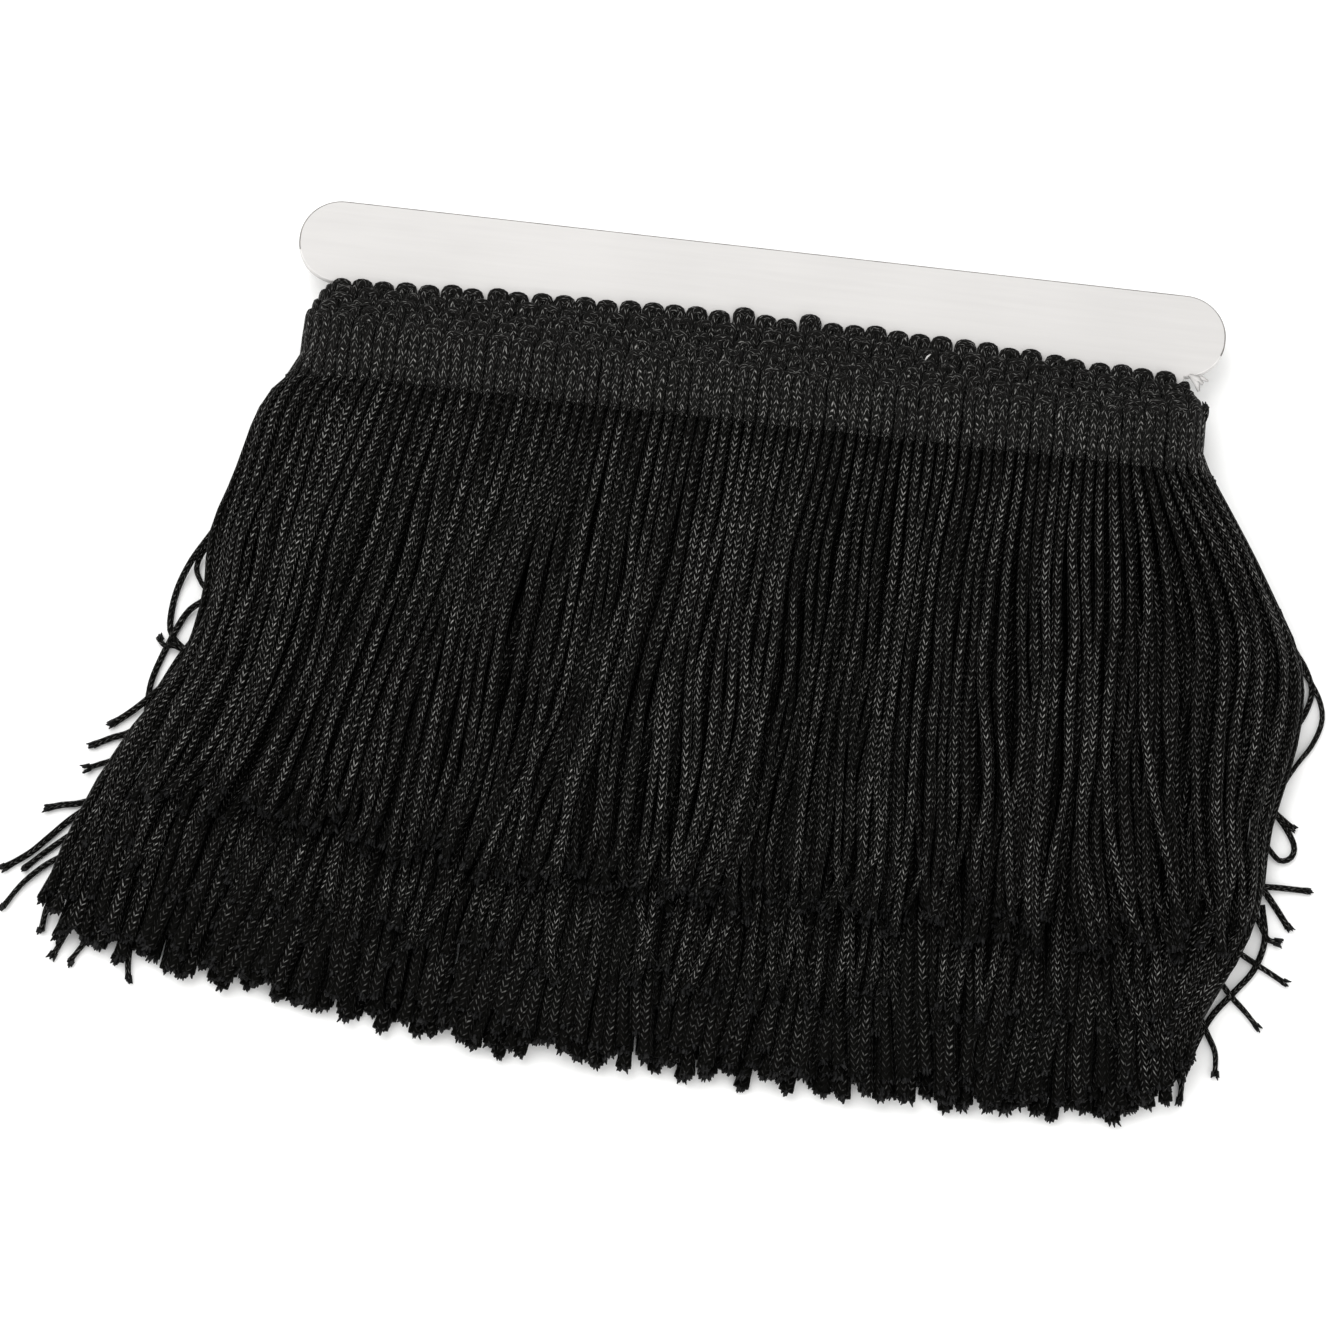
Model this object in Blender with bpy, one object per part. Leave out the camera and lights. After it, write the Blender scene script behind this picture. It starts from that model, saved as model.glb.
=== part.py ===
"""Black chainette fringe trim, wound flat round a white board, lying on its back.

Metres, +Z up. X runs along the board and the trim's heading, +Y points from
the cut ends of the fringe to the board's flange, and Z is zero at the surface
that the winding lies on. The trim's heading is wound round the board's neck in
five turns, each a little lower than the one inside it, so that their looped
top edges show as steps. The fringe hangs from the heading's lower edge in four
tiers, which fan out and end one short of the next.
"""

import math
import random

import bmesh
import bpy
from mathutils import Vector

MM = 0.001
GAP = 0.3 * MM

# The board: a flange with round ends that shows, and a neck inside the winding.
# Y is zero near the upper edge of the innermost turn.
BOARD_THICK = 2.0 * MM
FLANGE_LENGTH = 200 * MM
FLANGE_HEIGHT = 18.5 * MM
FLANGE_CORNER = 9.0 * MM
FLANGE_TOP = 19.3 * MM
FLANGE_SHIFT = -0.9 * MM
NECK_WIDTH = 181.8 * MM
ARC_STEPS = 10

# The winding: thicker on its faces than at its folds, where it is pulled tight.
TURNS = 5
FLAT_HALF = 84 * MM
SLOT_HALF = 1.35 * MM
FOLD_INNER = 7.4 * MM
FACE_STEP = 1.6 * MM
FOLD_STEP = 1.2 * MM
SLOT_ROUNDNESS = 1 / 6
ROLL_HALF = SLOT_HALF + TURNS * FACE_STEP

# The heading's looped upper edge and its ribs: two ribs to a loop.
FACE_TOP = 0.5 * MM
FACE_DROP = 2.7 * MM
FOLD_TOP = 0.3 * MM
FOLD_DROP = 1.5 * MM
BOW_INNER = 2.8 * MM
BOW_LOSS = 0.65 * MM
HEADING_FOOT = -22.4 * MM
LOOPS_ON_FLAT = 35
LOOPS_ON_FOLD = 5
SUNK = {"notch": 1.2 * MM, "rib": 0.35 * MM, "peak": 0.0}
RIB_DEPTH = 0.4 * MM

# The fringe, a row for each tier, from the surface up: name, half width of its
# strip, middle height of the strip and of the tips, reach of its cords, and the
# sideways lean of its middle cord as a slope.
TIERS = (
    ("fringe_floor_tier", 90 * MM, 2.0 * MM, 1.2 * MM, 132 * MM, -0.13),
    ("fringe_lower_tier", 96 * MM, 6.9 * MM, 4.3 * MM, 127 * MM, -0.11),
    ("fringe_upper_tier", 96 * MM, 11.8 * MM, 7.8 * MM, 118 * MM, -0.09),
    ("fringe_front_tier", 91 * MM, 16.7 * MM, 12.0 * MM, 98 * MM, -0.08),
)
STRANDS = 62
STRIP_TOP = HEADING_FOOT - GAP
STRIP_HEIGHT = 3.0 * MM
STRAND_GAP = 0.65 * MM
ROOT_THICK = 4.0 * MM
TIP_THICK = 2.4 * MM
TIP_WIDTH = 2.5 * MM
STRAND_STEPS = 4
STEP_GROWTH = 1.3
SETTLE_LENGTH = 100 * MM
END_JITTER = 3.2 * MM
HEIGHT_JITTER = 0.25 * MM

# The fan: cords lean out from its middle line, and wave a little towards their
# tips. At its edges they go out at once, more so on the right, and reach less.
# Each side is a row: lean at the edge, share that goes out at once and the power
# that keeps it to the edge, share of reach lost at the edge and its power.
FAN_HALF = 97 * MM
LEFT_SIDE = (0.29, 0.18, 2, 0.14, 2.5)
RIGHT_SIDE = (0.34, 1.0, 3, 0.24, 8)
AT_ONCE_POWER = 6
WAVE = 1.5 * MM
WAVE_LENGTH = 78 * MM
WAVE_DRIFT = 45 * MM


def clear_scene():
    for thing in list(bpy.data.objects):
        bpy.data.objects.remove(thing, do_unlink=True)


def new_material(name, colour, roughness, sheen=0.0):
    material = bpy.data.materials.new(name)
    material.use_nodes = True
    shader = material.node_tree.nodes["Principled BSDF"]
    shader.inputs["Base Color"].default_value = (*colour, 1.0)
    shader.inputs["Roughness"].default_value = roughness
    shader.inputs["Metallic"].default_value = 0.0
    shader.inputs["Sheen Weight"].default_value = sheen
    return material


def add_object(name, data, material, collection):
    thing = bpy.data.objects.new(name, data)
    data.materials.append(material)
    collection.objects.link(thing)
    return thing


def add_mesh(name, shape, material, collection):
    mesh = bpy.data.meshes.new(name)
    bmesh.ops.recalc_face_normals(shape, faces=shape.faces)
    shape.to_mesh(mesh)
    shape.free()
    return add_object(name, mesh, material, collection)


def board_outline():
    """The board's outline in X and Y: the flange's rounded corners, then the neck."""
    left = FLANGE_SHIFT - FLANGE_LENGTH / 2
    right = FLANGE_SHIFT + FLANGE_LENGTH / 2
    foot = FLANGE_TOP - FLANGE_HEIGHT
    corners = (
        (left + FLANGE_CORNER, foot + FLANGE_CORNER, 270),
        (left + FLANGE_CORNER, FLANGE_TOP - FLANGE_CORNER, 180),
        (right - FLANGE_CORNER, FLANGE_TOP - FLANGE_CORNER, 90),
        (right - FLANGE_CORNER, foot + FLANGE_CORNER, 0),
    )
    points = []
    for centre_x, centre_y, start in corners:
        for step in range(ARC_STEPS + 1):
            turn = math.radians(start - 90 * step / ARC_STEPS)
            points.append(
                (
                    centre_x + FLANGE_CORNER * math.cos(turn),
                    centre_y + FLANGE_CORNER * math.sin(turn),
                )
            )
    for side, y in ((1, foot), (1, HEADING_FOOT), (-1, HEADING_FOOT), (-1, foot)):
        points.append((side * NECK_WIDTH / 2, y))
    return points


def make_board(material, collection):
    curve = bpy.data.curves.new("winding_board", "CURVE")
    curve.dimensions = "2D"
    curve.fill_mode = "BOTH"
    curve.extrude = BOARD_THICK / 2
    points = board_outline()
    spline = curve.splines.new("POLY")
    spline.points.add(len(points) - 1)
    for point, (x, y) in zip(spline.points, points):
        point.co = (x, y, 0, 1)
    spline.use_cyclic_u = True
    board = add_object("winding_board", curve, material, collection)
    board.location = (0, 0, ROLL_HALF)
    return board


def winding_columns():
    """Each column round the winding: where it starts on the slot's middle line, its
    angle out from there (0 is up, towards the front) and which part of a loop it is."""
    both = ("notch", "peak")
    stretches = (
        (-FLAT_HALF, FLAT_HALF, 0, 0, LOOPS_ON_FLAT, ("notch", "rib", "peak", "rib")),
        (FLAT_HALF, FLAT_HALF, 0, math.pi, LOOPS_ON_FOLD, both),
        (FLAT_HALF, -FLAT_HALF, math.pi, math.pi, LOOPS_ON_FLAT, both),
        (-FLAT_HALF, -FLAT_HALF, math.pi, math.tau, LOOPS_ON_FOLD, both),
    )
    columns = []
    for start, end, angle, last_angle, loops, kinds in stretches:
        steps = loops * len(kinds)
        for step in range(steps):
            part = step / steps
            x = start + (end - start) * part
            turn = angle + (last_angle - angle) * part
            columns.append((x, turn, kinds[step % len(kinds)]))
    return columns


def away_from_slot(angle, level):
    """Offset in X and Z at a level of the winding, 0 at the slot and TURNS outside:
    its folds start as squarely as the slot's ends and grow round."""
    roundness = SLOT_ROUNDNESS + (1 - SLOT_ROUNDNESS) * level / TURNS
    across = round(math.sin(angle), 9)
    up = round(math.cos(angle), 9)
    return Vector(
        (
            math.copysign(abs(across) ** roundness * (FOLD_INNER + FOLD_STEP * level), across),
            0,
            math.copysign(abs(up) ** roundness * (SLOT_HALF + FACE_STEP * level), up),
        )
    )


def loop_top(turn, x, angle):
    """Y of a turn's looped edge: bowed up on the faces, and higher on the folds."""
    bow = (BOW_INNER - BOW_LOSS * turn) * math.cos(math.pi * x / (2 * FLAT_HALF))
    on_face = FACE_TOP + bow - FACE_DROP * turn
    on_fold = FOLD_TOP - FOLD_DROP * turn
    return on_face + (on_fold - on_face) * abs(math.sin(angle))


def make_heading(material, collection):
    """A flat ring lofted through the columns, stepped and looped along its top edge."""
    shape = bmesh.new()
    rings = []
    for x, angle, kind in winding_columns():
        faces_up = (1 + math.cos(angle)) / 2
        groove = 0.0 if kind == "rib" else RIB_DEPTH * faces_up
        inwards = Vector((-math.sin(angle), 0, -math.cos(angle))) * groove
        profile = [(away_from_slot(angle, 0), HEADING_FOOT)]
        for turn in range(TURNS):
            level = loop_top(turn, x, angle) - SUNK[kind]
            profile.append((away_from_slot(angle, turn), level))
            profile.append((away_from_slot(angle, turn + 1), level))
        profile.append((away_from_slot(angle, TURNS), HEADING_FOOT))
        for outer in (-2, -1):
            away, y = profile[outer]
            profile[outer] = (away + inwards, y)
        middle = Vector((x, 0, ROLL_HALF))
        rings.append([shape.verts.new(middle + away + Vector((0, y, 0))) for away, y in profile])
    for here, there in zip(rings, rings[1:] + rings[:1]):
        for row in range(len(here)):
            after = (row + 1) % len(here)
            shape.faces.new((here[row], here[after], there[after], there[row]))
    return add_mesh("wound_heading", shape, material, collection)


def side_of(share):
    return RIGHT_SIDE if share > 0 else LEFT_SIDE


def spread(share, part):
    """How much of its sideways lean a cord has at this part of its length: a cord at
    the right edge goes out at once and then runs straight down."""
    _, at_once, power, _, _ = side_of(share)
    hurried = 1 - (1 - part) ** AT_ONCE_POWER
    return part + (hurried - part) * at_once * abs(share) ** power


def lean_of(middle_lean, share):
    return middle_lean + side_of(share)[0] * share


def reach_of(longest, share):
    """How far a tier's cords reach: less towards the ends of the fan."""
    _, _, _, shorter, power = side_of(share)
    return longest * (1 - shorter * abs(share) ** power)


def strand_stations(root_x, tier, width, luck):
    """The stations of one strand after its root: middle, half width, half thickness."""
    root_z, tip_z, longest, middle_lean = tier[2:]
    share = root_x / FAN_HALF
    reach = reach_of(longest, share) + luck.uniform(-1, 1) * END_JITTER
    lift = luck.uniform(-1, 1) * HEIGHT_JITTER
    rests = root_z <= ROOT_THICK / 2
    stations = []
    for step in range(1, STRAND_STEPS + 1):
        part = (step / STRAND_STEPS) ** STEP_GROWTH
        along = reach * part
        across = reach * lean_of(middle_lean, share) * spread(share, part)
        across += WAVE * part * math.sin(math.tau * (along / WAVE_LENGTH + root_x / WAVE_DRIFT))
        settled = min(1.0, along / SETTLE_LENGTH)
        settled = settled * settled * (3 - 2 * settled)
        wide = width + (TIP_WIDTH - width) * part
        thick = ROOT_THICK + (TIP_THICK - ROOT_THICK) * settled
        high = thick / 2 if rests else root_z + (tip_z - root_z) * settled + lift * part
        place = Vector((root_x + across, STRIP_TOP - STRIP_HEIGHT - along, high))
        stations.append((place, wide / 2, thick / 2))
    return stations


def make_tier(tier, material, collection, luck):
    """A narrow strip whose lower face is drawn out, cell by cell, into the strands."""
    name, half, root_z = tier[:3]
    pitch = 2 * half / STRANDS
    width = pitch - STRAND_GAP
    borders = []
    for index in range(STRANDS):
        left = -half + pitch * index + STRAND_GAP / 2
        borders += [left, left + width]
    shape = bmesh.new()
    foot = STRIP_TOP - STRIP_HEIGHT
    rows = [
        [shape.verts.new((x, foot, root_z + side * ROOT_THICK / 2)) for x in borders]
        for side in (-1, 1)
    ]
    cells = [
        shape.faces.new((rows[0][i], rows[0][i + 1], rows[1][i + 1], rows[1][i]))
        for i in range(len(borders) - 1)
    ]
    grown = bmesh.ops.extrude_face_region(shape, geom=cells, use_keep_orig=True)
    raised = [item for item in grown["geom"] if isinstance(item, bmesh.types.BMVert)]
    bmesh.ops.translate(shape, verts=raised, vec=(0, STRIP_HEIGHT, 0))
    for index, cell in enumerate(cells[::2]):
        root_x = (borders[2 * index] + borders[2 * index + 1]) / 2
        tip = cell
        for place, wide, thick in strand_stations(root_x, tier, width, luck):
            tip = bmesh.ops.extrude_discrete_faces(shape, faces=[tip])["faces"][0]
            middle = tip.calc_center_median()
            for corner in tip.verts:
                side = math.copysign(wide, corner.co.x - middle.x)
                level = math.copysign(thick, corner.co.z - middle.z)
                corner.co = place + Vector((side, 0, level))
    return add_mesh(name, shape, material, collection)


def centre_on_footprint(things):
    """Moves everything so that the origin is under the middle of the whole part."""
    bpy.context.view_layer.update()
    corners = [t.matrix_world @ Vector(c) for t in things for c in t.bound_box]
    middle_x = (min(c.x for c in corners) + max(c.x for c in corners)) / 2
    middle_y = (min(c.y for c in corners) + max(c.y for c in corners)) / 2
    for thing in things:
        thing.location -= Vector((middle_x, middle_y, 0))


def main():
    clear_scene()
    collection = bpy.data.collections.new("tassel_fringe_trim")
    bpy.context.scene.collection.children.link(collection)
    white_board = new_material("white_board", (0.82, 0.81, 0.79), 0.6)
    black_braid = new_material("black_braid", (0.013, 0.013, 0.014), 0.55, 0.3)
    black_cord = new_material("black_cord", (0.011, 0.011, 0.012), 0.5, 0.3)
    luck = random.Random(7)
    things = [
        make_board(white_board, collection),
        make_heading(black_braid, collection),
    ]
    for tier in TIERS:
        things.append(make_tier(tier, black_cord, collection, luck))
    centre_on_footprint(things)


main()
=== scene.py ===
import math

import bpy
import numpy as np
from bpy.props import FloatProperty, FloatVectorProperty, IntProperty, PointerProperty
from mathutils import Matrix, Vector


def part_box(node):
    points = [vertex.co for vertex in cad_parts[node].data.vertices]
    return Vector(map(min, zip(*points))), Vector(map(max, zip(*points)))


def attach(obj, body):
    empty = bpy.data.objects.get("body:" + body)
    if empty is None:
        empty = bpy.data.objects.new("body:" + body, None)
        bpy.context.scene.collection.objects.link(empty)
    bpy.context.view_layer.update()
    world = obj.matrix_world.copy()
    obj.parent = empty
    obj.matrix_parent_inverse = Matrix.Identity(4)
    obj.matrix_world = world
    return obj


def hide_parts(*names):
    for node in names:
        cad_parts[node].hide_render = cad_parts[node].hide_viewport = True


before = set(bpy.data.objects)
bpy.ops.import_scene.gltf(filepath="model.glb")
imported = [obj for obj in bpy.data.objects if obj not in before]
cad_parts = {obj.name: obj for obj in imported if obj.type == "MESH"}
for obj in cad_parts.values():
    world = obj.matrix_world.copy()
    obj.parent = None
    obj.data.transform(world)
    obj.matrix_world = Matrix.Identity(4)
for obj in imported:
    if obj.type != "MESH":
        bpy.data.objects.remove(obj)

bl_info = {
    "name": "Wound Tassel Fringe Trim",
    "version": (1, 0, 0),
    "blender": (4, 5, 0),
    "location": "View3D > Sidebar > Fringe Trim",
    "description": "Builds a black chainette fringe trim wound round a white board",
    "category": "Add Mesh",
}

MM = 0.001

# Lengths are in mm, in the design frame of the solids, until a piece is made.

# The board: its flange, its neck, and the rings that round its arrises
BOARD_THICK = 2.0
FLANGE_LENGTH = 200.0
FLANGE_HEIGHT = 18.5
FLANGE_CORNER = 9.0
FLANGE_TOP = 19.3
FLANGE_SHIFT = -0.9
NECK_WIDTH = 181.8
CORNER_STEPS = 16
ARRIS_INSETS = np.array((0.32, 0.1, 0.0, 0.0, 0.1, 0.32))
ARRIS_HEIGHTS = np.array((-1.0, -0.91, -0.7, 0.7, 0.91, 1.0))

# The design frame's zero, found from the board's box
BOARD_LOW, BOARD_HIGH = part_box("winding_board")
ORIGIN = np.array(
    (
        (BOARD_LOW[0] + BOARD_HIGH[0]) / 2 / MM - FLANGE_SHIFT,
        BOARD_HIGH[1] / MM - FLANGE_TOP,
        0.0,
    )
)

# The winding, whose turns are numbered from 0 at the board to 4 outside. Its
# track is laid out in loops of the heading, from the middle of the back, round
# the left fold, along the front and round the right fold.
TURNS = 5
FLAT_HALF = 84.0
SLOT_HALF = 1.35
FOLD_INNER = 7.4
FACE_STEP = 1.6
FOLD_STEP = 1.2
SLOT_ROUNDNESS = 1 / 6
ROLL_HALF = SLOT_HALF + TURNS * FACE_STEP
TRACK_LOOPS = (0.0, 17.5, 22.5, 57.5, 62.5, 80.0)
TRACK_X = (0.0, -FLAT_HALF, -FLAT_HALF, FLAT_HALF, FLAT_HALF, 0.0)
TRACK_ANGLE = (math.pi, math.pi, math.tau, math.tau, 3 * math.pi, 3 * math.pi)
TRACK_SAMPLES = 8001
CLIMB_LOOPS = 6.0
STRETCH = 0.033

# The heading's looped edge
FACE_TOP = 0.5
FACE_DROP = 2.7
LEFT_FOLD_TOPS = (1.1, -0.5, -2.3, -4.4, -7.0)
RIGHT_FOLD_TOPS = (-1.2, -3.4, -4.4, -5.3, -5.9)
BOW_INNER = 2.8
BOW_LOSS = 0.65
LEFT_END_LIFT = 0.8
RIGHT_END_LIFT = -0.1
HEADING_FOOT = -22.4
TOP_LIFT = 0.45
RAISED_LOOPS = (-5.4, 10.6)
RAISE = 1.1

# One hairpin of the heading: its legs' stations as shares of their height, how far each
# is pinched there, and the arch that joins the legs.
LEG_SHARES = np.array((-0.035, 0.0, 0.05, 0.12, 0.4, 0.72, 1.0))
LEG_PINCHES = np.array((0.86, 0.9, 0.84, 1.0, 1.0, 1.0, 0.97))
ARCH_ANGLES = np.radians((24, 57, 90, 123, 156))
ARCH_RISE = 0.62
ARCH_DEPTH = 1.0
RIB_HALF_HIGH = 0.86
RIB_FLATTER_AT_FOLD = 0.2
TOP_SCATTER = 0.22
RIB_DRIFT = 0.16
RIB_WOBBLE = 0.22
WOBBLE_LENGTH = 7.5
WOBBLE_STARTS = 5.0

# The folds of the heading: the right one is pressed in, and both flare at the foot.
FOLD_BEGINS = 90.0
FOLD_DEPTH = 7.0
RIGHT_PRESS = -1.2
LEFT_FLARE = -2.7
RIGHT_FLARE = 2.1
FLARE_HEIGHT = 4.5

# The fan of the fringe. Its cords lean out evenly, and those at its edges go their own
# way beyond that, given below at lengths from the root. Each side has the share where
# its edge begins, the slope of the edge's inner cords, and the share of its reach that
# the last cord loses, with the power of that loss.
FAN_HALF = 97.0
LEFT_SIDE = (0.65, -0.03, 0.115, 1.8)
RIGHT_SIDE = (0.7, 0.14, 0.045, 6.0)
EDGE_LENGTHS = (0, 3, 6, 10, 15, 20, 27, 35, 42, 50, 57, 64, 71, 78, 85, 93, 101, 113, 120, 135)
LEFT_WAYS = (
    (0.0, -2.7, -3.1, -3.0, -2.8, -2.2, -2.3, -2.9, -0.7, 1.2)
    + (1.2, 1.6, -0.5, -2.8, -3.0, -4.9, -5.3, -6.2, -6.2, -7.2)
)
RIGHT_WAYS = (
    (0.0, 1.8, 3.3, 5.5, 8.4, 10.5, 13.2, 16.3, 16.2, 15.4)
    + (13.6, 12.2, 9.8, 9.0, 9.0, 6.2, 2.6, -3.8, -7.1, -8.6)
)
EDGE_BLUR = 4.0
LEAN_HEIGHTS = (2.0, 16.7)
MIDDLE_LEANS = (-0.085, -0.062)
LEAN_GROWTH = 0.17
LEAN_SCATTER = 0.004
REACH_HEIGHTS = (0.8, 2.4, 4.0, 5.6, 7.2, 11.5, 13.1, 14.2, 17.9)
REACHES = (135.9, 135.8, 135.4, 134.6, 132.8, 121.5, 120.0, 102.0, 100.5)
REST_HEIGHTS = (0.8, 7.2, 11.5, 17.9)
RESTS = (1.05, 6.0, 8.0, 13.4)
REST_SCATTER = 0.35
SETTLE_LENGTH = 100.0

# The cords' waves, the bunches they gather in, how they sink in at the heading's foot
# and between their neighbours, and the drag of those on top to the left
WAVE_LENGTH = 78.0
WAVE_DRIFT = 45.0
OWN_WAVE_LENGTHS = (28, 62)
BUNCHES = ((8.7, 0.45, 0.1), (13.3, 0.7, 0.62), (31.0, 0.9, 0.35))
BUNCH_LENGTH = 45.0
BUNCH_SLANT = 0.9
FOOT_SINK = 0.75
FOOT_SINK_LENGTH = 2.0
SUNK_DEPTH = 1.5
SUNK_LENGTH = 22.0
# Painted shade: how much darker the sunk cords are.
SUNK_PAINTED_SHADE = 0.52
UNEVEN_CUT = 1.6
UNEVEN_CUT_LENGTH = 23.0
DRAG = -1.7
DRAG_LENGTH = 30.0
WANDER = 0.85
WANDER_MOST = 5.0
ROOT_PINCHES = (0.76, 0.82, 0.95)
END_FLARES = np.array((0.2, 0.6, 1.0, 1.0))
PRESSED_WIDER = 0.3

# Pairs for the cords in front and those behind: the scatter of their ends, their own
# waves, the bunches, the sideways stray and the splay of their ends, the flare at the
# cut, and the twist, which the weight on the cords behind holds back.
END_SCATTERS = (1.3, 1.1)
OWN_WAVES = (1.0, 0.5)
BUNCHINGS = (1.0, 0.1)
END_STRAYS = (0.8, 0.4)
END_SPLAYS = (1.7, 0.75)
CUT_FLARES = (0.14, 0.24)
TWISTS = (1.0, 0.3)

# Scraps of torn white card at the flange's right end, and a fleck of lint on the
# heading: each is a row of places, then its half width.
SCRAPS = (
    ((91.8, 1.2, 10.6), (93.4, 0.2, 11.4), (94.9, -0.7, 11.2), 1.0),
    ((92.2, 0.6, 11.0), (93.5, -1.0, 11.8), (94.0, -2.6, 11.6), 0.8),
    ((92.6, 1.0, 10.4), (94.5, 0.7, 11.0), (96.0, 0.2, 10.8), 0.6),
    ((34.9, -4.7, 18.0), (35.3, -4.0, 18.3), (35.9, -3.3, 18.1), 0.22),
)

# Tubes
SIDES = 8
CAP_QUADS = {4: ((0, 1, 2, 3),), 8: ((0, 1, 2, 3), (0, 3, 4, 7), (4, 5, 6, 7))}
KNIT_COLUMNS = 4
RIB_COLUMNS = 5
RIB_STITCH = 1.1
LEG_STATIONS = 22

# Loose filaments at the cut ends: their stations, half width there and lengths
FILAMENT_STEPS = np.array((-0.6, 0.5, 1.0))
FILAMENT_HALVES = np.array((0.36, 0.3, 0.1))
FILAMENT_LENGTHS = (0.3, 1.3)
FILAMENT_BEND = 0.55

# Stretches of a cord that face the light: 0.06 of one in a stitch makes them 23 mm long
FACING_RATE = 0.06

# The stage: the floor's half width and the lights' places in metres, with each light's
# diameter and power, then the camera, which stands above the cut ends' side at the
# photograph's angle, in degrees.
FLOOR_REACH = 3.0
LIGHTS = (
    ("key_light", (-0.35, 0.25, 0.9), 0.9, 6.0),
    ("fill_light", (0.5, -0.6, 0.8), 1.0, 2.0),
)
CAMERA_PLACE = (-11.53, -304.74, 862.29)
CAMERA_HEIGHT_ANGLE = 75.0
CAMERA_ROLL = 6.4
CAMERA_LENS = 113.25

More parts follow.
